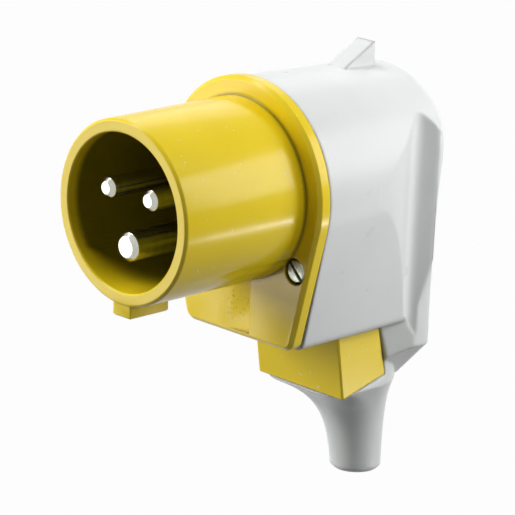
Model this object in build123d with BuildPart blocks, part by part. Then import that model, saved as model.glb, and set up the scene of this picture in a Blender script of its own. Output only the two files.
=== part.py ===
import os
from math import acos, atan2, cos, exp, hypot, radians, sin, tan

from build123d import *

os.makedirs("parts", exist_ok=True)

# Frame: the origin lies on the shroud axis at the front face of the flange.
# The shroud points to -Y, the cable leaves downwards along -Z, +X is the right side from the front.

# Shroud
shroud_length = 37.4
shroud_radius = 22.0
shroud_bore_radius = 18.8
shroud_edge = 0.6
mouth_edge = 0.3

# Key on the outside of the shroud at six o'clock
key_width = 5.8
key_length = 12.4
key_rise = 3.0
key_edge = 0.4

# Flange with its skirt
flange_thickness = 3.4
flange_radius = 26.6
flange_half_bottom = 18.0
flange_bottom = 36.6
flange_corner_radius = 3.0
flange_edge = 0.9

# Ramped groove down the middle of the skirt, deepest at its right edge
groove_width = 8.4
groove_depth = 1.3
groove_foot = 1.2

# Gasket between flange and housing
gasket_thickness = 0.7
gasket_inset = 0.7
gasket_band = 2.0
gasket_eye_radius = 3.2

# Contact carrier behind the shroud
carrier_nose_radius = 17.0
carrier_nose_depth = 1.0
carrier_ledge = 1.4
carrier_flange_radius = 20.0
carrier_flange_thickness = 3.4
carrier_body_radius = 14.6
carrier_length = 12.0

# Contact pins and their terminal barrels
pin_pitch_radius = 8.35
live_pin_angle = 30.0
live_pin_radius = 2.5
earth_pin_radius = 3.5
pin_recess = 1.4
pin_tip_chamfer = 1.0
pin_shoulder = 0.3
live_barrel_radius = 4.0
earth_barrel_radius = 4.6
barrel_step = 0.7
barrel_tail = 10.0
wire_bore_radius = 1.9
wire_bore_depth = 8.0
terminal_screw_radius = 1.6
terminal_head_radius = 2.5
terminal_head_height = 1.9

# Plate that keeps the pins in the carrier
retainer_thickness = 2.0
retainer_radius = 13.8
retainer_screw_radius = 1.4
retainer_screw_length = 9.0
retainer_head_radius = 2.7
retainer_head_height = 2.0

# Housing
flange_overhang = 0.6
housing_front_half_bottom = 18.2
housing_bottom = 37.0
housing_rear_radius = 24.3
housing_rear_half_bottom = 18.0
housing_corner_radius = 2.5
housing_back = 48.5
housing_wall = 2.8
cavity_step = 22.0
cavity_rear_radius = 15.6
cavity_rear_centre = 4.8
cavity_rear_half_bottom = 11.5
rib_angles = (15.0, 65.0, 115.0, 165.0)
rib_reach = 2.4

# Rear rim of the housing
rim_lip = 0.02
rim_shoulder_angle = 50.0
rim_half_width = 21.3
rim_widest_height = 4.5
rim_bend_half_width = 19.6
rim_bend_height = 16.0
rim_corner_half_width = 18.9
rim_corner_height = 43.3
rim_foot_half_width = 9.4
rim_foot_height = 52.9
rim_thickness = 3.6
rim_flare_length = 8.0
rim_flare_inset = 1.0
cheek_angle = 25.0
rim_edge_radius = 3.2

# Finger scoops in the housing's sides
scoop_start = 21.5
scoop_start_half_width = 25.1
scoop_floor = 40.0
scoop_floor_half_width = 17.5
scoop_entry_angle = 4.0
scoop_lean = 1.2
scoop_valley_radius = 3.0
scoop_bottom = 35.2
scoop_corner_radius = 8.0
scoop_tail_start = 39.0
scoop_tail_end = 44.2
scoop_tail_bottom = 43.2

# Grip fin on top of the housing
fin_start = 30.6
fin_end = 40.6
fin_top = 30.2
fin_half_width = 2.9

# Flange screws, slotted, and their threaded inserts
flange_screw_inset = 7.1
flange_screw_z = -16.4
flange_screw_radius = 1.7
flange_screw_length = 13.0
flange_head_radius = 2.9
flange_head_height = 2.0
head_recess_radius = 3.3
head_recess_depth = 2.3
screw_head_edge = 0.4
screw_slot_width = 0.9
screw_slot_depth = 1.1
insert_radius = 2.7
insert_length = 8.0
insert_sides = 6
boss_radius = 3.6
boss_length = 12.5

# Cable clamp, a wedge below the housing
clamp_half_width = 14.7
clamp_front_top = 19.4
clamp_front_bottom = 21.9
clamp_rear_top = 33.7
clamp_rear_bottom = 36.6
clamp_front_foot = 54.1
clamp_rear_foot = 50.2
clamp_edge = 0.4
clamp_screw_x = 9.6
clamp_screw_y = 28.0
clamp_screw_radius = 1.7
clamp_head_radius = 2.9
clamp_head_height = 2.2
clamp_head_depth = 5.0
clamp_insert_length = 7.0
clamp_boss_height = 8.0
clamp_pad_half_width = 4.0
clamp_pad_top = 41.0
clamp_pad_foot = 47.0

# Cable sleeve and its sealing ring
sleeve_end = 79.0
sleeve_end_radius = 6.3
sleeve_end_edge = 0.8
sleeve_top = 53.0
sleeve_top_corner = 5.0
sleeve_flare_length = 8.0
sleeve_sections = 5
cable_bore_radius = 4.2
inner_bore_radius = 4.8
seal_top = 57.0
seal_length = 6.0
seal_outer_radius = 5.6
seal_bore_radius = 3.7

# Fits
slide_fit = 0.1
loose_fit = 0.25

housing_front = flange_thickness + gasket_thickness
housing_front_radius = flange_radius - flange_overhang
flange_screw_x = housing_front_radius - flange_screw_inset
pin_tip = -shroud_length + pin_recess
carrier_back = carrier_ledge + carrier_length
barrel_front = carrier_ledge
retainer_back = carrier_back + retainer_thickness
barrel_back = carrier_back + barrel_tail
terminal_y = barrel_back - wire_bore_depth / 2
rim_radius = housing_rear_radius + rim_lip
sleeve_rear = housing_back - slide_fit
cable_y = sleeve_rear - sleeve_end_radius
clamp_top = housing_bottom + slide_fit


def plane_at(y):
    return Plane.XZ.offset(-y)


def shield(y, radius, half_bottom, bottom, corner, centre=0.0):
    reach = hypot(half_bottom, bottom + centre)
    angle = atan2(-bottom - centre, half_bottom) + acos(radius / reach)
    side_x = radius * cos(angle)
    side_z = centre + radius * sin(angle)
    with BuildSketch(plane_at(y)) as outline:
        with BuildLine():
            Line((half_bottom, -bottom), (side_x, side_z))
            ThreePointArc((side_x, side_z), (0, centre + radius), (-side_x, side_z))
            Line((-side_x, side_z), (-half_bottom, -bottom))
            Line((-half_bottom, -bottom), (half_bottom, -bottom))
        make_face()
        fillet(outline.vertices().group_by(Axis.Y)[0], corner)
    return outline.sketch


def rim_outline(y, inset):
    shoulder = radians(rim_shoulder_angle)
    top = rim_radius - inset
    start = (top * cos(shoulder), top * sin(shoulder))
    widest = (rim_half_width - inset, -inset + rim_widest_height)
    bend = (rim_bend_half_width - inset, -rim_bend_height)
    corner = (rim_corner_half_width - inset, -rim_corner_height)
    foot = (rim_foot_half_width - inset / 2, -rim_foot_height + inset / 2)
    with BuildSketch(plane_at(y)) as outline:
        with BuildLine():
            ThreePointArc((0, top), (top * sin(shoulder / 2), top * cos(shoulder / 2)), start)
            shoulder_arc = TangentArc(start, widest, tangent=(sin(shoulder), -cos(shoulder)))
            side_arc = TangentArc(widest, bend, tangent=shoulder_arc % 1)
            TangentArc(bend, corner, tangent=side_arc % 1)
            Line(corner, foot)
            Line(foot, (0, foot[1]))
            mirror(about=Plane.YZ)
        make_face()
    return outline.sketch


def sleeve_section(height):
    last = exp(-(sleeve_end - sleeve_top) / sleeve_flare_length)
    share = (exp(-(height - sleeve_top) / sleeve_flare_length) - last) / (1 - last)
    radius = sleeve_end_radius + (clamp_half_width - sleeve_end_radius) * share
    corner = radius - slide_fit - (clamp_half_width - slide_fit - sleeve_top_corner) * share**2
    middle = sleeve_rear - radius
    with BuildSketch(Plane.XY.offset(-height)) as outline:
        with BuildLine():
            ThreePointArc((radius, middle), (0, sleeve_rear), (-radius, middle))
            Polyline(
                (-radius, middle),
                (-radius, middle - radius),
                (radius, middle - radius),
                (radius, middle),
            )
        make_face()
        fillet(outline.vertices().group_by(Axis.Y)[0], corner)
    return outline.sketch


def front_facing(x, y, z):
    return Plane(origin=(x, y, z), x_dir=(1, 0, 0), z_dir=(0, -1, 0))


def pin_places():
    side = pin_pitch_radius * cos(radians(live_pin_angle))
    rise = pin_pitch_radius * sin(radians(live_pin_angle))
    return {
        "line_pin": (-side, rise, live_pin_radius, live_barrel_radius),
        "neutral_pin": (side, rise, live_pin_radius, live_barrel_radius),
        "earth_pin": (0, -pin_pitch_radius, earth_pin_radius, earth_barrel_radius),
    }


# Front moulding: shroud, key, flange and skirt
with BuildPart() as front_shroud:
    extrude(
        shield(0, flange_radius, flange_half_bottom, flange_bottom, flange_corner_radius),
        amount=flange_thickness,
        dir=(0, 1, 0),
    )
    chamfer(front_shroud.edges().group_by(Axis.Y)[0], flange_edge)
    with BuildSketch(Plane.XY):
        Polygon(
            (0, -shroud_length),
            (shroud_radius - shroud_edge, -shroud_length),
            (shroud_radius, -shroud_length + shroud_edge),
            (shroud_radius, flange_edge),
            (0, flange_edge),
            align=None,
        )
    revolve(axis=Axis.Y)
    with BuildSketch(Plane.XY):
        Polygon(
            (0, -shroud_length),
            (shroud_bore_radius + mouth_edge, -shroud_length),
            (shroud_bore_radius, -shroud_length + mouth_edge),
            (shroud_bore_radius, -carrier_nose_depth),
            (carrier_nose_radius, -carrier_nose_depth),
            (carrier_nose_radius, carrier_ledge),
            (carrier_flange_radius, carrier_ledge),
            (carrier_flange_radius, flange_thickness),
            (0, flange_thickness),
            align=None,
        )
    revolve(axis=Axis.Y, mode=Mode.SUBTRACT)
    with BuildSketch(plane_at(shroud_edge - shroud_length)):
        with Locations((0, -shroud_radius - key_rise)):
            Rectangle(key_width, 2 * key_rise, align=(Align.CENTER, Align.MIN))
    extrude(amount=-(key_length - shroud_edge))
    key_edges = front_shroud.edges().filter_by_position(
        Axis.Z, -shroud_radius - key_rise - slide_fit, -shroud_radius - key_rise + slide_fit
    )
    chamfer(key_edges.filter_by_position(Axis.Y, -shroud_length, 0), key_edge)
    with BuildSketch(Plane.XY.offset(-flange_bottom + groove_foot)):
        Polygon(
            (-groove_width / 2, 0),
            (groove_width / 2, 0),
            (groove_width / 2, groove_depth),
            align=None,
        )
    extrude(amount=flange_bottom - groove_foot - shroud_radius, mode=Mode.SUBTRACT)
    with Locations(*[front_facing(x, 0, flange_screw_z) for x in (-flange_screw_x, flange_screw_x)]):
        CounterBoreHole(
            flange_screw_radius + loose_fit, head_recess_radius, head_recess_depth, flange_thickness
        )
front_shroud.part.label = "front_shroud"
export_step(front_shroud.part, "parts/front_shroud.step")

# Gasket: a flat ring inside the flange outline
with BuildPart() as flange_gasket:
    extrude(
        shield(
            flange_thickness,
            housing_front_radius - gasket_inset,
            housing_front_half_bottom - gasket_inset,
            housing_bottom - gasket_inset,
            flange_corner_radius,
        ),
        amount=gasket_thickness,
        dir=(0, 1, 0),
    )
    extrude(
        shield(
            flange_thickness,
            housing_front_radius - gasket_inset - gasket_band,
            housing_front_half_bottom - gasket_inset - gasket_band,
            housing_bottom - gasket_inset - gasket_band,
            flange_corner_radius,
        ),
        amount=gasket_thickness,
        dir=(0, 1, 0),
        mode=Mode.SUBTRACT,
    )
    with BuildSketch(plane_at(flange_thickness)):
        with Locations((-flange_screw_x, flange_screw_z), (flange_screw_x, flange_screw_z)):
            Circle(gasket_eye_radius)
    extrude(amount=-gasket_thickness)
    with BuildSketch(plane_at(flange_thickness)):
        with Locations((-flange_screw_x, flange_screw_z), (flange_screw_x, flange_screw_z)):
            Circle(flange_screw_radius + loose_fit)
    extrude(amount=-gasket_thickness, mode=Mode.SUBTRACT)
flange_gasket.part.label = "flange_gasket"
export_step(flange_gasket.part, "parts/flange_gasket.step")

# Contact carrier: nose in the shroud, flange on the ledge, body around the terminal barrels
with BuildPart() as contact_carrier:
    with BuildSketch(Plane.XY):
        Polygon(
            (0, -carrier_nose_depth),
            (carrier_nose_radius - slide_fit, -carrier_nose_depth),
            (carrier_nose_radius - slide_fit, carrier_ledge),
            (carrier_flange_radius - slide_fit, carrier_ledge),
            (carrier_flange_radius - slide_fit, carrier_ledge + carrier_flange_thickness),
            (carrier_body_radius, carrier_ledge + carrier_flange_thickness),
            (carrier_body_radius, carrier_back),
            (0, carrier_back),
            align=None,
        )
    revolve(axis=Axis.Y)
    for x, z, shank, barrel in pin_places().values():
        with Locations(front_facing(x, -carrier_nose_depth, z)):
            Hole(shank + pin_shoulder + slide_fit / 2, depth=carrier_back + carrier_nose_depth)
        with Locations(front_facing(x, barrel_front, z)):
            Hole(barrel + slide_fit / 2, depth=carrier_length)
    with BuildSketch(plane_at(carrier_back)):
        Circle(retainer_screw_radius)
    extrude(amount=retainer_screw_length - retainer_thickness, mode=Mode.SUBTRACT)
contact_carrier.part.label = "contact_carrier"
export_step(contact_carrier.part, "parts/contact_carrier.step")

# Contact pins with barrels bored for the wire, and the terminal screws set into them from outside
for name, (x, z, shank, barrel) in pin_places().items():
    outward = Vector(x, 0, z).normalized()
    seat = barrel - barrel_step
    with BuildPart() as pin:
        with BuildSketch(Plane.XY.move(Location((x, 0, z)))):
            Polygon(
                (0, pin_tip),
                (shank - pin_tip_chamfer, pin_tip),
                (shank, pin_tip + pin_tip_chamfer),
                (shank, -carrier_nose_depth),
                (shank + pin_shoulder, -carrier_nose_depth),
                (shank + pin_shoulder, barrel_front),
                (barrel, barrel_front),
                (barrel, carrier_back),
                (seat, carrier_back),
                (seat, barrel_back),
                (0, barrel_back),
                align=None,
            )
        revolve(axis=Axis((x, 0, z), (0, 1, 0)))
        with Locations(Plane(origin=(x, barrel_back, z), x_dir=(1, 0, 0), z_dir=(0, 1, 0))):
            Hole(wire_bore_radius, depth=wire_bore_depth)
        with Locations(Plane(origin=Vector(x, terminal_y, z) + outward * barrel, z_dir=outward)):
            Hole(terminal_screw_radius, depth=barrel)
    pin.part.label = name
    export_step(pin.part, f"parts/{name}.step")

    with BuildPart(Plane(origin=Vector(x, terminal_y, z) + outward * seat, z_dir=outward)) as screw:
        Cylinder(
            terminal_head_radius, terminal_head_height, align=(Align.CENTER, Align.CENTER, Align.MIN)
        )
        Cylinder(
            terminal_screw_radius - slide_fit / 2, seat, align=(Align.CENTER, Align.CENTER, Align.MAX)
        )
    screw.part.label = name.replace("_pin", "_terminal_screw")
    export_step(screw.part, f"parts/{screw.part.label}.step")

# Retainer plate on the back of the carrier, held by one screw in the middle
with BuildPart() as pin_retainer:
    with BuildSketch(plane_at(carrier_back)):
        Circle(retainer_radius)
        for x, z, shank, barrel in pin_places().values():
            with Locations((x, z)):
                Circle(barrel - barrel_step + slide_fit, mode=Mode.SUBTRACT)
        Circle(retainer_screw_radius + slide_fit, mode=Mode.SUBTRACT)
    extrude(amount=-retainer_thickness)
pin_retainer.part.label = "pin_retainer"
export_step(pin_retainer.part, "parts/pin_retainer.step")


def slotted_screw(seat_plane, shank_radius, shank_length, head_radius, head_height, slot_turn):
    with BuildPart(seat_plane) as screw:
        Cylinder(head_radius, head_height, align=(Align.CENTER, Align.CENTER, Align.MIN))
        chamfer(screw.faces().sort_by(Axis(seat_plane.origin, seat_plane.z_dir))[-1].edges(), screw_head_edge)
        Cylinder(shank_radius, shank_length, align=(Align.CENTER, Align.CENTER, Align.MAX))
        with Locations(Location((0, 0, head_height), (0, 0, slot_turn))):
            Box(
                3 * head_radius,
                screw_slot_width,
                2 * screw_slot_depth,
                mode=Mode.SUBTRACT,
            )
    return screw.part


retainer_screw = slotted_screw(
    Plane(origin=(0, retainer_back, 0), x_dir=(1, 0, 0), z_dir=(0, 1, 0)),
    retainer_screw_radius - slide_fit / 2,
    retainer_screw_length - slide_fit,
    retainer_head_radius,
    retainer_head_height,
    0,
)
retainer_screw.label = "retainer_screw"
export_step(retainer_screw, "parts/retainer_screw.step")

# Finger scoop: an upright hollow in the housing's right side, rounded at its lower front corner
lean = Plane(
    origin=(0, 0, 0),
    x_dir=(cos(radians(scoop_lean)), 0, -sin(radians(scoop_lean))),
    z_dir=(sin(radians(scoop_lean)), 0, cos(radians(scoop_lean))),
)
scoop_entry = (-sin(radians(scoop_entry_angle)), cos(radians(scoop_entry_angle)))
rim_front = housing_back - rim_thickness
outside = 2 * scoop_start_half_width
valley_slope = (rim_front - scoop_floor) / (rim_half_width - scoop_floor_half_width)
slope_end = scoop_floor + valley_slope * (outside - scoop_floor_half_width)
with BuildPart() as finger_scoop:
    with BuildSketch(lean) as scoop_plan:
        with BuildLine():
            TangentArc(
                (scoop_start_half_width, scoop_start),
                (scoop_floor_half_width, scoop_floor),
                tangent=scoop_entry,
            )
            Polyline(
                (scoop_floor_half_width, scoop_floor),
                (outside, slope_end),
                (outside, scoop_start),
                (scoop_start_half_width, scoop_start),
            )
        make_face()
        fillet(
            scoop_plan.vertices().sort_by_distance((scoop_floor_half_width, scoop_floor, 0))[0],
            scoop_valley_radius,
        )
    extrude(amount=2 * housing_bottom, both=True)
    with BuildSketch(Plane.YZ) as scoop_side:
        Polygon(
            (scoop_start, -scoop_bottom),
            (scoop_tail_start, -scoop_bottom),
            (scoop_tail_end, -scoop_tail_bottom),
            (slope_end, -scoop_tail_bottom),
            (slope_end, scoop_bottom),
            (scoop_start, scoop_bottom),
            align=None,
        )
        fillet(
            scoop_side.vertices().sort_by_distance((0, scoop_start, -scoop_bottom))[0], scoop_corner_radius
        )
    extrude(amount=outside, mode=Mode.INTERSECT)

# Rear rim: flares out of the shell and closes the back
cheek_half_width = clamp_half_width + (rim_front - clamp_rear_top) * tan(radians(cheek_angle))
with BuildPart() as rear_rim:
    loft([rim_outline(rim_front - rim_flare_length, rim_flare_inset), rim_outline(rim_front, 0)], ruled=True)
    extrude(rim_outline(rim_front, 0), amount=rim_thickness, dir=(0, 1, 0))
    fillet(rear_rim.faces().sort_by(Axis.Y)[-1].edges(), rim_edge_radius)
    with BuildSketch(Plane.XY.offset(-scoop_bottom)):
        Polygon(
            (clamp_half_width, clamp_rear_top),
            (outside, clamp_rear_top),
            (outside, rim_front),
            (cheek_half_width, rim_front),
            align=None,
        )
        mirror(about=Plane.YZ)
    extrude(amount=-rim_foot_height, mode=Mode.SUBTRACT)

# Column behind the clamp, with cheeks that slant out to the rim
column_half_width = rim_corner_half_width - rim_flare_inset
with BuildPart() as column:
    with BuildSketch(plane_at(clamp_rear_top)):
        with BuildLine():
            Polyline(
                (0, -housing_bottom + housing_wall),
                (column_half_width, -housing_bottom + housing_wall),
                (column_half_width, -rim_corner_height),
                (rim_foot_half_width - rim_flare_inset / 2, -rim_foot_height + rim_flare_inset / 2),
                (0, -rim_foot_height + rim_flare_inset / 2),
            )
            mirror(about=Plane.YZ)
        make_face()
    extrude(amount=clamp_rear_top - rim_front)
    with BuildSketch(Plane.XY):
        with BuildLine():
            Polyline(
                (0, clamp_rear_top),
                (clamp_half_width, clamp_rear_top),
                (cheek_half_width, rim_front),
                (0, rim_front),
            )
            mirror(about=Plane.YZ)
        make_face()
    extrude(amount=-rim_foot_height, mode=Mode.INTERSECT)

# Cable sleeve: flares from the foot of the clamp and thins to a round end
with BuildPart() as cable_sleeve:
    flare_step = (sleeve_end - sleeve_top) / sleeve_sections
    loft([sleeve_section(sleeve_top + flare_step * step) for step in range(sleeve_sections + 1)])
    with BuildSketch(plane_at(cable_y)):
        Polygon(
            (sleeve_end_radius - sleeve_end_edge, -sleeve_end),
            (sleeve_end_radius + sleeve_end_edge, -sleeve_end + 2 * sleeve_end_edge),
            (sleeve_end_radius + sleeve_end_edge, -sleeve_end),
            align=None,
        )
    revolve(axis=Axis((0, cable_y, 0), (0, 0, 1)), mode=Mode.SUBTRACT)
    extrude(sleeve_section(sleeve_top), amount=sleeve_top - housing_bottom - housing_wall)

# Space left for the clamp below the housing
clamp_slope = (clamp_front_foot - clamp_rear_foot) / (clamp_rear_bottom - clamp_front_bottom)
with BuildPart() as clamp_space:
    with BuildSketch(Plane.YZ):
        Polygon(
            (0, -housing_bottom),
            (clamp_rear_top + slide_fit, -housing_bottom),
            (clamp_rear_bottom + slide_fit, -clamp_rear_foot - slide_fit),
            (0, -clamp_front_foot - clamp_slope * clamp_front_bottom - slide_fit),
            align=None,
        )
    extrude(amount=outside, both=True)

# Housing: tapering shell with scoops, rim, sleeve, grip fin, screw bosses and carrier ribs
fin_taper = (housing_front_radius - housing_rear_radius) / (rim_front - housing_front)
fin_foot = housing_front_radius - fin_taper * (fin_start - housing_front)
boss_places = [(-flange_screw_x, flange_screw_z), (flange_screw_x, flange_screw_z)]
rib_front = carrier_ledge + carrier_flange_thickness + slide_fit
rib_inner = carrier_flange_radius - rib_reach
rib_outer = housing_front_radius - housing_wall / 2
with BuildPart() as rear_housing:
    loft(
        [
            shield(
                housing_front,
                housing_front_radius,
                housing_front_half_bottom,
                housing_bottom,
                housing_corner_radius,
            ),
            shield(
                rim_front + slide_fit,
                housing_rear_radius,
                housing_rear_half_bottom,
                housing_bottom,
                housing_corner_radius,
            ),
        ],
        ruled=True,
    )
    add(column.part)
    add(rear_rim.part)
    add(finger_scoop.part, mode=Mode.SUBTRACT)
    add(finger_scoop.part.mirror(Plane.YZ), mode=Mode.SUBTRACT)
    add(cable_sleeve.part)
    add(clamp_space.part, mode=Mode.SUBTRACT)
    with BuildSketch(Plane.YZ):
        Polygon(
            (fin_start, fin_foot),
            (fin_end, fin_top),
            (fin_end, fin_foot - housing_wall),
            (fin_start, fin_foot - housing_wall),
            align=None,
        )
    extrude(amount=fin_half_width, both=True)
    extrude(
        shield(
            housing_front,
            housing_rear_radius - housing_wall,
            housing_rear_half_bottom - housing_wall,
            housing_bottom - housing_wall,
            housing_corner_radius,
        ),
        amount=cavity_step - housing_front,
        dir=(0, 1, 0),
        mode=Mode.SUBTRACT,
    )
    extrude(
        shield(
            housing_front,
            cavity_rear_radius,
            cavity_rear_half_bottom,
            housing_bottom - housing_wall,
            housing_corner_radius,
            cavity_rear_centre,
        ),
        amount=housing_back - housing_wall - housing_front,
        dir=(0, 1, 0),
        mode=Mode.SUBTRACT,
    )
    for angle in rib_angles:
        with BuildSketch(plane_at(rib_front)):
            with Locations(Rotation(0, 0, angle)):
                with Locations(((rib_inner + rib_outer) / 2, 0)):
                    Rectangle(rib_outer - rib_inner, housing_wall)
        extrude(amount=-boss_length)
    with BuildSketch(plane_at(housing_front)):
        with Locations(*boss_places):
            Circle(boss_radius)
    extrude(amount=-boss_length)
    with BuildSketch(plane_at(housing_front)):
        with Locations(*boss_places):
            Circle(flange_screw_radius + loose_fit)
    extrude(amount=-(boss_length - housing_wall / 4), mode=Mode.SUBTRACT)
    with BuildSketch(plane_at(housing_front)):
        with Locations(*boss_places):
            RegularPolygon(insert_radius, insert_sides)
    extrude(amount=-insert_length, mode=Mode.SUBTRACT)
    with BuildSketch(Plane.XY.offset(-housing_bottom)):
        with Locations((-clamp_screw_x, clamp_screw_y), (clamp_screw_x, clamp_screw_y)):
            Circle(boss_radius)
    extrude(amount=clamp_boss_height + housing_wall)
    with BuildSketch(Plane.XY.offset(-housing_bottom)):
        with Locations((-clamp_screw_x, clamp_screw_y), (clamp_screw_x, clamp_screw_y)):
            RegularPolygon(insert_radius, insert_sides)
    extrude(amount=clamp_insert_length, mode=Mode.SUBTRACT)
    with BuildSketch(Plane.XY.offset(-housing_bottom)):
        with Locations((-clamp_screw_x, clamp_screw_y), (clamp_screw_x, clamp_screw_y)):
            Circle(clamp_screw_radius + loose_fit)
    extrude(amount=clamp_boss_height, mode=Mode.SUBTRACT)
    with BuildSketch(Plane.XY.offset(-sleeve_end)):
        with Locations((0, cable_y)):
            Circle(cable_bore_radius)
    extrude(amount=sleeve_end - seal_top, mode=Mode.SUBTRACT)
    with BuildSketch(Plane.XY.offset(-seal_top)):
        with Locations((0, cable_y)):
            Circle(inner_bore_radius)
    extrude(amount=seal_top - housing_bottom + 2 * housing_wall, mode=Mode.SUBTRACT)
    with BuildSketch(Plane.XY.offset(-seal_top - seal_length)):
        with Locations((0, cable_y)):
            Circle(seal_outer_radius)
    extrude(amount=seal_length, mode=Mode.SUBTRACT)
    with Locations((0, cable_y, -clamp_pad_top + loose_fit)):
        Box(
            2 * (clamp_pad_half_width + loose_fit),
            cable_y - clamp_rear_top,
            clamp_pad_foot - clamp_pad_top + 2 * loose_fit,
            align=(Align.CENTER, Align.MAX, Align.MAX),
            mode=Mode.SUBTRACT,
        )
rear_housing.part.label = "rear_housing"
export_step(rear_housing.part, "parts/rear_housing.step")

# Cable clamp: a wedge with a saddle pad that reaches the cable through the column's window
with BuildPart() as cable_clamp:
    with BuildSketch(Plane.YZ):
        Polygon(
            (clamp_front_top, -clamp_top),
            (clamp_front_bottom, -clamp_front_foot),
            (clamp_rear_bottom, -clamp_rear_foot),
            (clamp_rear_top, -clamp_top),
            align=None,
        )
    extrude(amount=clamp_half_width, both=True)
    chamfer(cable_clamp.edges(), clamp_edge)
    with Locations((0, clamp_rear_top - clamp_edge, -clamp_pad_top)):
        Box(
            2 * clamp_pad_half_width,
            cable_y - cable_bore_radius / 2 - clamp_rear_top + clamp_edge,
            clamp_pad_foot - clamp_pad_top,
            align=(Align.CENTER, Align.MIN, Align.MAX),
        )
    with BuildSketch(Plane.XY.offset(-clamp_pad_foot - housing_wall)):
        with Locations((0, cable_y)):
            Circle(inner_bore_radius + slide_fit)
    extrude(amount=clamp_pad_foot - clamp_pad_top + 2 * housing_wall, mode=Mode.SUBTRACT)
    with BuildSketch(Plane.XY.offset(-clamp_front_foot)):
        with Locations((-clamp_screw_x, clamp_screw_y), (clamp_screw_x, clamp_screw_y)):
            Circle(clamp_screw_radius + loose_fit)
    extrude(amount=clamp_front_foot - clamp_top, mode=Mode.SUBTRACT)
    with BuildSketch(Plane.XY.offset(-clamp_front_foot)):
        with Locations((-clamp_screw_x, clamp_screw_y), (clamp_screw_x, clamp_screw_y)):
            Circle(clamp_head_radius + loose_fit)
    extrude(amount=clamp_head_depth, mode=Mode.SUBTRACT)
cable_clamp.part.label = "cable_clamp"
export_step(cable_clamp.part, "parts/cable_clamp.step")

# Sealing ring in the sleeve
with BuildPart() as cable_seal:
    with BuildSketch(Plane.XY.offset(-seal_top - seal_length + slide_fit / 2)):
        with Locations((0, cable_y)):
            Circle(seal_outer_radius - slide_fit / 2)
            Circle(seal_bore_radius, mode=Mode.SUBTRACT)
    extrude(amount=seal_length - slide_fit)
cable_seal.part.label = "cable_seal"
export_step(cable_seal.part, "parts/cable_seal.step")


def threaded_insert(mouth, length, bore):
    with BuildPart() as insert:
        with BuildSketch(mouth):
            RegularPolygon(insert_radius - slide_fit, insert_sides)
            Circle(bore, mode=Mode.SUBTRACT)
        extrude(amount=-length)
    return insert.part


# Screws and inserts on the left and on the right
for side, turn in ((-1, 45), (1, 135)):
    prefix = "left" if side < 0 else "right"
    flange_screw = slotted_screw(
        front_facing(side * flange_screw_x, head_recess_depth, flange_screw_z),
        flange_screw_radius - slide_fit / 2,
        flange_screw_length,
        flange_head_radius,
        flange_head_height,
        turn,
    )
    flange_insert = threaded_insert(
        front_facing(side * flange_screw_x, housing_front + slide_fit / 2, flange_screw_z),
        insert_length - slide_fit,
        flange_screw_radius,
    )
    clamp_seat = -clamp_front_foot + clamp_head_depth
    downward = Plane(
        origin=(side * clamp_screw_x, clamp_screw_y, clamp_seat), x_dir=(1, 0, 0), z_dir=(0, 0, -1)
    )
    clamp_screw = slotted_screw(
        downward,
        clamp_screw_radius - slide_fit / 2,
        -housing_bottom + clamp_insert_length - clamp_seat,
        clamp_head_radius,
        clamp_head_height,
        0,
    )
    clamp_insert = threaded_insert(
        Plane(
            origin=(side * clamp_screw_x, clamp_screw_y, -housing_bottom + slide_fit / 2),
            x_dir=(1, 0, 0),
            z_dir=(0, 0, -1),
        ),
        clamp_insert_length - slide_fit,
        clamp_screw_radius,
    )
    for piece, kind in (
        (flange_screw, "flange_screw"),
        (flange_insert, "flange_insert"),
        (clamp_screw, "clamp_screw"),
        (clamp_insert, "clamp_insert"),
    ):
        piece.label = f"{prefix}_{kind}"
        export_step(piece, f"parts/{piece.label}.step")
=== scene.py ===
# right-angle industrial plug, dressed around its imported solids
from math import cos, radians, sin

import bmesh
import bpy
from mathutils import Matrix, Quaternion, Vector


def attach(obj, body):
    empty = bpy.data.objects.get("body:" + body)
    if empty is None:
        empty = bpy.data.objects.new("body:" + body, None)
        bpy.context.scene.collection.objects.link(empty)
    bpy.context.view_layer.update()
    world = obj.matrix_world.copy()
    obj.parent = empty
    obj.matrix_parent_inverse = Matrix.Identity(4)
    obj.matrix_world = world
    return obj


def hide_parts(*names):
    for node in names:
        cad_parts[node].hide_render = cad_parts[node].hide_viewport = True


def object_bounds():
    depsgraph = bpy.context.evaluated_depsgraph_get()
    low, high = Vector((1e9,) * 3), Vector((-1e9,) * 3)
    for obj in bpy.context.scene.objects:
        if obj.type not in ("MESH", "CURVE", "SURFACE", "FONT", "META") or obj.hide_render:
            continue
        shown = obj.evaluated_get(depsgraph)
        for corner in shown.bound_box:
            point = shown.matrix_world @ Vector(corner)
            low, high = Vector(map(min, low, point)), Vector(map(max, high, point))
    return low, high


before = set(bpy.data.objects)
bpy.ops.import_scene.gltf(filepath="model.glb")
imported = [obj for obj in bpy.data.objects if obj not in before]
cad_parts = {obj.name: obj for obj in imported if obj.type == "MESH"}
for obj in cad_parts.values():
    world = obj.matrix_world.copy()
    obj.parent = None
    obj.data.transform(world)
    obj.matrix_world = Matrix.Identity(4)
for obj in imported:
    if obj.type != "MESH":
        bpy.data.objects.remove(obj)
cadLow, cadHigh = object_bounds()  # box of the solids, before anything is added
print("frame loaded,", len(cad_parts), "nodes")

# node graphs
noiseSpan = (0.3, 0.7)  # most of a noise's values fall in here
nodeSamples = {"rounding": 6, "nearness": 8}
mixSockets = {"share": 0, "under": 6, "over": 7, "result": 2}  # colour sockets of a Mix node


def startMaterial(name):
    material = bpy.data.materials.new(name)
    material.use_nodes = True
    tree = material.node_tree
    shader = tree.nodes["Principled BSDF"]
    place = tree.nodes.new("ShaderNodeTexCoord")
    return material, tree, shader, place.outputs["Object"]


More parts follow.
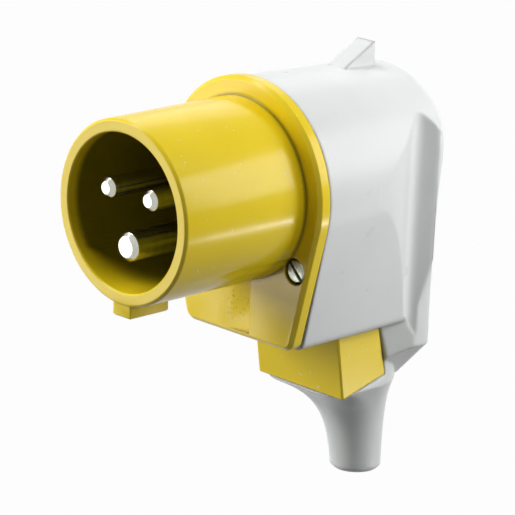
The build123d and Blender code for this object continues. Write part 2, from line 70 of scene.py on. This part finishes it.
def addMath(tree, operation, first, second):
    step = tree.nodes.new("ShaderNodeMath")
    step.operation = operation
    for socket, value in zip(step.inputs, (first, second)):
        if isinstance(value, float):
            socket.default_value = value
        else:
            tree.links.new(value, socket)
    return step.outputs["Value"]


def addVectorMath(tree, operation, place, other=None):
    step = tree.nodes.new("ShaderNodeVectorMath")
    step.operation = operation
    tree.links.new(place, step.inputs[0])
    if other is not None:
        step.inputs[1].default_value = other
    return step


def addSpread(tree, value, start, end, low=0.0, high=1.0, curve="LINEAR"):
    spread = tree.nodes.new("ShaderNodeMapRange")
    spread.interpolation_type = curve
    spread.inputs["From Min"].default_value = start
    spread.inputs["From Max"].default_value = end
    spread.inputs["To Min"].default_value = low
    spread.inputs["To Max"].default_value = high
    tree.links.new(value, spread.inputs["Value"])
    return spread.outputs["Result"]


def addMix(tree, share, under, over):
    mix = tree.nodes.new("ShaderNodeMix")
    mix.data_type = "RGBA"
    mix.inputs[mixSockets["over"]].default_value = (*over, 1)
    tree.links.new(share, mix.inputs[mixSockets["share"]])
    tree.links.new(under, mix.inputs[mixSockets["under"]])
    return mix.outputs[mixSockets["result"]]


def addNoise(tree, place, scale, detail=4.0, stretch=(1, 1, 1)):
    mapping = tree.nodes.new("ShaderNodeMapping")
    mapping.inputs["Scale"].default_value = stretch
    tree.links.new(place, mapping.inputs["Vector"])
    noise = tree.nodes.new("ShaderNodeTexNoise")
    noise.inputs["Scale"].default_value = scale  # cells per metre
    noise.inputs["Detail"].default_value = detail
    tree.links.new(mapping.outputs["Vector"], noise.inputs["Vector"])
    return noise.outputs["Fac"]


def addRamp(tree, value, dark, light):
    ramp = tree.nodes.new("ShaderNodeValToRGB")
    for stop, position, colour in zip(ramp.color_ramp.elements, noiseSpan, (dark, light)):
        stop.position = position
        stop.color = (*colour, 1)
    tree.links.new(value, ramp.inputs["Fac"])
    return ramp.outputs["Color"]


def addBump(tree, shader, height, look):
    rounding = tree.nodes.new("ShaderNodeBevel")  # rounds the shading over edges
    rounding.samples = nodeSamples["rounding"]
    rounding.inputs["Radius"].default_value = look["soft"]
    bump = tree.nodes.new("ShaderNodeBump")
    bump.inputs["Strength"].default_value = look["grainStrength"]
    bump.inputs["Distance"].default_value = look["grainDepth"]
    tree.links.new(height, bump.inputs["Height"])
    tree.links.new(rounding.outputs["Normal"], bump.inputs["Normal"])
    tree.links.new(bump.outputs["Normal"], shader.inputs["Normal"])


# painted shade inside the shroud: darker deeper in, while the lower wall, where light falls in,
# stays clear further in
def addHollowShade(tree, place, colour, hollow):
    across = addVectorMath(tree, "MULTIPLY", place, (1, 0, 1))  # leaves out the way along
    radius = addVectorMath(tree, "LENGTH", across.outputs["Vector"])
    rimOut = hollow["radius"] + hollow["rim"]
    rimIn = hollow["radius"] - hollow["rim"]
    within = addSpread(tree, radius.outputs["Value"], rimOut, rimIn)
    along = tree.nodes.new("ShaderNodeSeparateXYZ")
    tree.links.new(place, along.inputs["Vector"])
    lowest = -hollow["radius"]
    lowTop = lowest * hollow["lowShare"]
    fades = (hollow["lowFade"], hollow["sideFade"])  # the lower wall stays clear further in
    reach = addSpread(tree, along.outputs["Z"], lowest, lowTop, *fades)
    way = addMath(tree, "SUBTRACT", along.outputs["Y"], hollow["mouth"])
    depth = addMath(tree, "DIVIDE", way, reach)
    fade = addSpread(tree, depth, hollow["fadeStart"], 1.0, curve="SMOOTHSTEP")
    share = addMath(tree, "MULTIPLY", within, fade)
    return addMix(tree, share, colour, hollow["colour"])


def addSpecks(tree, place, colour, specks):
    grit = addNoise(tree, place, specks["scale"], detail=1.0)
    cover = addSpread(tree, grit, specks["start"], specks["full"], high=specks["strength"])
    if "centre" in specks:  # only a patch around that point
        away = addVectorMath(tree, "DISTANCE", place, specks["centre"])
        patch = addSpread(tree, away.outputs["Value"], specks["far"], specks["near"])
        cover = addMath(tree, "MULTIPLY", cover, patch)
    return addMix(tree, cover, colour, specks["colour"])


# painted shade: darkens the colour where walls meet
def addPaintedCreaseShade(tree, colour, creaseShade):
    nearness = tree.nodes.new("ShaderNodeAmbientOcclusion")  # low where walls meet
    nearness.samples = nodeSamples["nearness"]
    nearness.inputs["Distance"].default_value = creaseShade["reach"]
    clear, deep = creaseShade["clear"], creaseShade["deep"]
    depth = addSpread(tree, nearness.outputs["AO"], clear, deep, high=creaseShade["strength"])
    return addMix(tree, depth, colour, creaseShade["colour"])


def finishFrom(look):
    material, tree, shader, place = startMaterial(look["name"])
    stretch = look.get("stretch", (1, 1, 1))
    tint = addNoise(tree, place, look["tintScale"], stretch=stretch)
    colour = addRamp(tree, tint, look["dark"], look["light"])
    for specks in look.get("specks", ()):
        colour = addSpecks(tree, place, colour, specks)
    if "creaseShade" in look:
        colour = addPaintedCreaseShade(tree, colour, look["creaseShade"])
    if "hollow" in look:
        colour = addHollowShade(tree, place, colour, look["hollow"])
    tree.links.new(colour, shader.inputs["Base Color"])
    sheen = addNoise(tree, place, look["sheenScale"], stretch=stretch)
    roughness = addSpread(tree, sheen, *noiseSpan, *look["roughness"])
    tree.links.new(roughness, shader.inputs["Roughness"])
    grain = addNoise(tree, place, look["grainScale"], detail=2.0, stretch=stretch)
    addBump(tree, shader, grain, look)
    shader.inputs["Metallic"].default_value = look.get("metallic", 0.0)
    shader.inputs["IOR"].default_value = look.get("ior", 1.5)
    shader.inputs["Specular IOR Level"].default_value = look.get("specular", 0.5)
    return material


# lengths in metres, scales in cells per metre
yellowLook = {
    "name": "yellow_plastic",
    "dark": (0.790, 0.578, 0.008),
    "light": (0.850, 0.632, 0.016),
    "tintScale": 45.0,
    "roughness": (0.17, 0.24),
    "sheenScale": 160.0,
    "grainScale": 1400.0,
    "grainStrength": 0.10,
    "grainDepth": 0.00006,
    "soft": 0.0004,
    "ior": 1.53,
    "specular": 0.22,
    "specks": (
        {  # pale dust all over
            "scale": 620.0,
            "start": 0.735,
            "full": 0.775,
            "strength": 0.42,
            "colour": (0.95, 0.86, 0.42),
        },
        {  # dark specks in a patch on the skirt's groove
            "scale": 1700.0,
            "start": 0.60,
            "full": 0.70,
            "strength": 0.55,
            "colour": (0.10, 0.085, 0.004),
            "centre": (-0.0012, 0.0004, -0.0285),
            "near": 0.002,
            "far": 0.0062,
        },
    ),
    "creaseShade": {  # painted shade where walls meet
        "reach": 0.0016,
        "clear": 0.85,
        "deep": 0.50,
        "strength": 0.8,
        "colour": (0.14, 0.12, 0.003),
    },
    "hollow": {  # painted shade inside the shroud, darker deeper in
        "radius": 0.0189,
        "rim": 0.0002,
        "mouth": -0.0371,
        "lowFade": 0.016,
        "lowShare": 0.62,
        "sideFade": 0.0035,
        "fadeStart": 0.3,
        "colour": (0.042, 0.052, 0.002),
    },
}
greyLook = {
    "name": "grey_plastic",
    "dark": (0.665, 0.680, 0.672),
    "light": (0.710, 0.725, 0.717),
    "tintScale": 40.0,
    "roughness": (0.27, 0.36),
    "sheenScale": 150.0,
    "grainScale": 1300.0,
    "grainStrength": 0.10,
    "grainDepth": 0.00006,
    "soft": 0.0014,
    "specular": 0.25,
}
# near-black olive: the carrier's own dark plastic, made darker and greener as painted shade deep
# in the shroud
carrierLook = {
    "name": "carrier_plastic",
    "dark": (0.008, 0.010, 0.003),
    "light": (0.016, 0.019, 0.006),
    "tintScale": 120.0,
    "roughness": (0.45, 0.6),
    "sheenScale": 300.0,
    "grainScale": 1800.0,
    "grainStrength": 0.2,
    "grainDepth": 0.00008,
    "soft": 0.0002,
}
platedLook = {
    "name": "plated_contact",
    "dark": (0.46, 0.46, 0.40),
    "light": (0.58, 0.58, 0.52),
    "tintScale": 220.0,
    "roughness": (0.12, 0.24),
    "sheenScale": 500.0,
    "grainScale": 2600.0,
    "grainStrength": 0.08,
    "grainDepth": 0.00004,
    "soft": 0.0003,
    "metallic": 1.0,
    "stretch": (1, 4, 1),
}
steelLook = {
    "name": "screw_steel",
    "dark": (0.27, 0.28, 0.23),
    "light": (0.38, 0.39, 0.33),
    "tintScale": 420.0,
    "roughness": (0.22, 0.38),
    "sheenScale": 700.0,
    "grainScale": 2400.0,
    "grainStrength": 0.15,
    "grainDepth": 0.00005,
    "soft": 0.00012,
    "metallic": 1.0,
}
brassLook = {
    "name": "insert_brass",
    "dark": (0.58, 0.40, 0.14),
    "light": (0.70, 0.50, 0.20),
    "tintScale": 300.0,
    "roughness": (0.25, 0.4),
    "sheenScale": 600.0,
    "grainScale": 2200.0,
    "grainStrength": 0.12,
    "grainDepth": 0.00005,
    "soft": 0.0001,
    "metallic": 1.0,
}
rubberLook = {
    "name": "seal_rubber",
    "dark": (0.018, 0.018, 0.019),
    "light": (0.034, 0.034, 0.035),
    "tintScale": 260.0,
    "roughness": (0.6, 0.8),
    "sheenScale": 420.0,
    "grainScale": 2000.0,
    "grainStrength": 0.3,
    "grainDepth": 0.0001,
    "soft": 0.00015,
}
finishes = {}
for look in (yellowLook, greyLook, carrierLook, platedLook, steelLook, brassLook, rubberLook):
    finishes[look["name"]] = finishFrom(look)
print("finishes made:", ", ".join(sorted(finishes)))


# a softened copy of a solid, with its facets merged and its edges rounded
def dressSolid(node, look):
    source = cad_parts[node]
    shape = bmesh.new()
    shape.from_mesh(source.data)
    bmesh.ops.remove_doubles(shape, verts=shape.verts, dist=look["weld"])
    bmesh.ops.dissolve_limit(
        shape,
        angle_limit=radians(look["flatAngle"]),
        verts=shape.verts,
        edges=shape.edges,
        use_dissolve_boundaries=False,
    )
    mesh = bpy.data.meshes.new(node + "_shape")
    shape.to_mesh(mesh)
    shape.free()
    mesh.polygons.foreach_set("use_smooth", [True] * len(mesh.polygons))
    mesh.set_sharp_from_angle(angle=radians(look["sharpAngle"]))
    mesh.materials.clear()
    mesh.materials.append(finishes[look["finish"]])
    piece = bpy.data.objects.new(node + "_piece", mesh)
    bpy.context.scene.collection.objects.link(piece)
    edges = piece.modifiers.new("soft edges", "BEVEL")
    edges.width = look["edge"]
    edges.segments = look["segments"]
    edges.limit_method = "ANGLE"
    edges.angle_limit = radians(look["sharpAngle"])
    edges.use_clamp_overlap = True
    edges.harden_normals = False
    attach(piece, "root")
    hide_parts(node)


def paintSolid(node, finish):
    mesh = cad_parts[node].data
    mesh.materials.clear()
    mesh.materials.append(finishes[finish])


softEdge = {"weld": 1e-6, "flatAngle": 0.3, "sharpAngle": 28.0}  # metres and degrees
mouldedEdge = {**softEdge, "segments": 3}
metalEdge = {**softEdge, "segments": 2}

shroudLook = {**mouldedEdge, "finish": "yellow_plastic", "edge": 0.00028}
clampLook = {**mouldedEdge, "finish": "yellow_plastic", "edge": 0.00025}
gasketLook = {**mouldedEdge, "finish": "seal_rubber", "edge": 0.0001}
sealLook = {**mouldedEdge, "finish": "seal_rubber", "edge": 0.0002}
pinLook = {**metalEdge, "finish": "plated_contact", "edge": 0.0002}
screwLook = {**metalEdge, "finish": "screw_steel", "edge": 0.00012}

dressSolid("front_shroud", shroudLook)
dressSolid("cable_clamp", clampLook)
paintSolid("rear_housing", "grey_plastic")  # keeps its exact shading
dressSolid("flange_gasket", gasketLook)
dressSolid("cable_seal", sealLook)
for node in ("line_pin", "neutral_pin", "earth_pin"):
    dressSolid(node, pinLook)
for node in ("left_flange_screw", "right_flange_screw", "left_clamp_screw", "right_clamp_screw"):
    dressSolid(node, screwLook)
print("pieces dressed")

innerFinishes = {
    "carrier_plastic": ("contact_carrier", "pin_retainer"),
    "screw_steel": (
        "line_terminal_screw",
        "neutral_terminal_screw",
        "earth_terminal_screw",
        "retainer_screw",
    ),
    "insert_brass": (
        "left_flange_insert",
        "right_flange_insert",
        "left_clamp_insert",
        "right_clamp_insert",
    ),
}
for finish, nodes in innerFinishes.items():
    for node in nodes:
        paintSolid(node, finish)
print("inner solids painted")


def seenDirectly(tree):  # camera, mirror and see-through rays meet the white backdrop
    path = tree.nodes.new("ShaderNodeLightPath")
    rays = path.outputs
    first = addMath(tree, "MAXIMUM", rays["Is Camera Ray"], rays["Is Glossy Ray"])
    return addMath(tree, "MAXIMUM", first, rays["Is Transmission Ray"])


def mixShaders(tree, share, under, over, surface):
    mix = tree.nodes.new("ShaderNodeMixShader")
    tree.links.new(share, mix.inputs["Fac"])
    tree.links.new(under, mix.inputs[1])
    tree.links.new(over, mix.inputs[2])
    tree.links.new(mix.outputs["Shader"], surface)


# pale floor well below the plug
floorLook = {
    "drop": 0.30,
    "size": 14.0,
    "white": 0.98,
    "base": 0.12,
    "roughness": 0.9,
    "glow": 1.0,
}


def makeFloor():
    shape = bmesh.new()
    bmesh.ops.create_grid(shape, x_segments=1, y_segments=1, size=floorLook["size"] / 2)
    bmesh.ops.translate(shape, verts=shape.verts, vec=(0, 0, cadLow.z - floorLook["drop"]))
    mesh = bpy.data.meshes.new("floor_shape")
    shape.to_mesh(mesh)
    shape.free()
    floor = bpy.data.objects.new("floor", mesh)
    bpy.context.scene.collection.objects.link(floor)
    material = bpy.data.materials.new("floor_white")
    material.use_nodes = True
    tree = material.node_tree
    shader = tree.nodes["Principled BSDF"]
    base = floorLook["base"]
    shader.inputs["Base Color"].default_value = (base, base, base, 1)
    shader.inputs["Roughness"].default_value = floorLook["roughness"]
    glow = tree.nodes.new("ShaderNodeEmission")
    glow.inputs["Strength"].default_value = floorLook["glow"]
    share = addMath(tree, "MULTIPLY", seenDirectly(tree), floorLook["white"])
    surface = tree.nodes["Material Output"].inputs["Surface"]
    mixShaders(tree, share, shader.outputs["BSDF"], glow.outputs["Emission"], surface)
    mesh.materials.append(material)


makeFloor()

# world: white where it is seen, a faint green-grey where it lights
worldLook = {"ambient": 0.04, "tint": (0.80, 1.0, 0.92), "backdrop": 1.0}
world = bpy.data.worlds.new("studio")
world.use_nodes = True
bpy.context.scene.world = world
worldTree = world.node_tree
ambient = worldTree.nodes["Background"]
ambient.inputs["Color"].default_value = (*worldLook["tint"], 1)
ambient.inputs["Strength"].default_value = worldLook["ambient"]
backdrop = worldTree.nodes.new("ShaderNodeBackground")
backdrop.inputs["Color"].default_value = (1, 1, 1, 1)
backdrop.inputs["Strength"].default_value = worldLook["backdrop"]
mixShaders(
    worldTree,
    seenDirectly(worldTree),
    ambient.outputs["Background"],
    backdrop.outputs["Background"],
    worldTree.nodes["World Output"].inputs["Surface"],
)

# softboxes: place, width and height, power in watts
lampLooks = {
    "top_softbox": {"place": (-0.46, -0.18, 0.87), "size": (0.4, 0.4), "power": 5.6},
    "top_right_softbox": {"place": (0.45, 0.30, 0.84), "size": (0.4, 0.4), "power": 1.0},
    "rear_top_softbox": {"place": (-0.48, 0.60, 0.50), "size": (0.4, 0.4), "power": 0.6},
    "left_front_panel": {"place": (-0.67, -0.66, 0.30), "size": (0.5, 0.5), "power": 8.4},
    "left_low_card": {"place": (-0.69, -0.667, -0.28), "size": (0.30, 0.30), "power": 1.3},
    "right_rear_panel": {"place": (0.185, 0.175, 0.10), "size": (0.17, 0.17), "power": 0.50},
    "right_panel": {"place": (0.24, 0.0, 0.11), "size": (0.16, 0.16), "power": 0.18},
    "low_right_strip": {"place": (0.40, 0.376, -0.256), "size": (0.18, 0.02), "power": 0.4},
}
lampTarget = Vector((0.0, 0.01, -0.02))
for name, look in lampLooks.items():
    lamp = bpy.data.lights.new(name, "AREA")
    lamp.shape = "RECTANGLE"
    lamp.size, lamp.size_y = look["size"]
    lamp.energy = look["power"]
    holder = bpy.data.objects.new(name, lamp)
    holder.location = look["place"]
    aim = lampTarget - holder.location
    holder.rotation_euler = aim.to_track_quat("-Z", "Y").to_euler()
    bpy.context.scene.collection.objects.link(holder)
print("floor, world and lamps set")

# camera at the photograph's angle, in degrees, metres and, for the lens, millimetres
cameraLook = {
    "azimuth": 46.01,
    "elevation": 16.29,
    "roll": 1.63,
    "target": (0.0064, 0.0, -0.0158),
    "distance": 0.8051,
    "lens": 238.85,
    "sensor": 36.0,
    "near": 0.01,
    "far": 50.0,
}
lens = bpy.data.cameras.new("photo_camera")
lens.lens = cameraLook["lens"]
lens.sensor_width = cameraLook["sensor"]
lens.clip_start = cameraLook["near"]
lens.clip_end = cameraLook["far"]
camera = bpy.data.objects.new("photo_camera", lens)
turn = radians(cameraLook["azimuth"])
tilt = radians(cameraLook["elevation"])
back = Vector((sin(turn) * cos(tilt), -cos(turn) * cos(tilt), sin(tilt)))
camera.location = Vector(cameraLook["target"]) + back * cameraLook["distance"]
camera.rotation_mode = "QUATERNION"
level = (-back).to_track_quat("-Z", "Y")
camera.rotation_quaternion = level @ Quaternion((0, 0, 1), radians(cameraLook["roll"]))
bpy.context.scene.collection.objects.link(camera)
bpy.context.scene.camera = camera
bpy.context.scene.view_settings.view_transform = "Standard"
print("camera set")
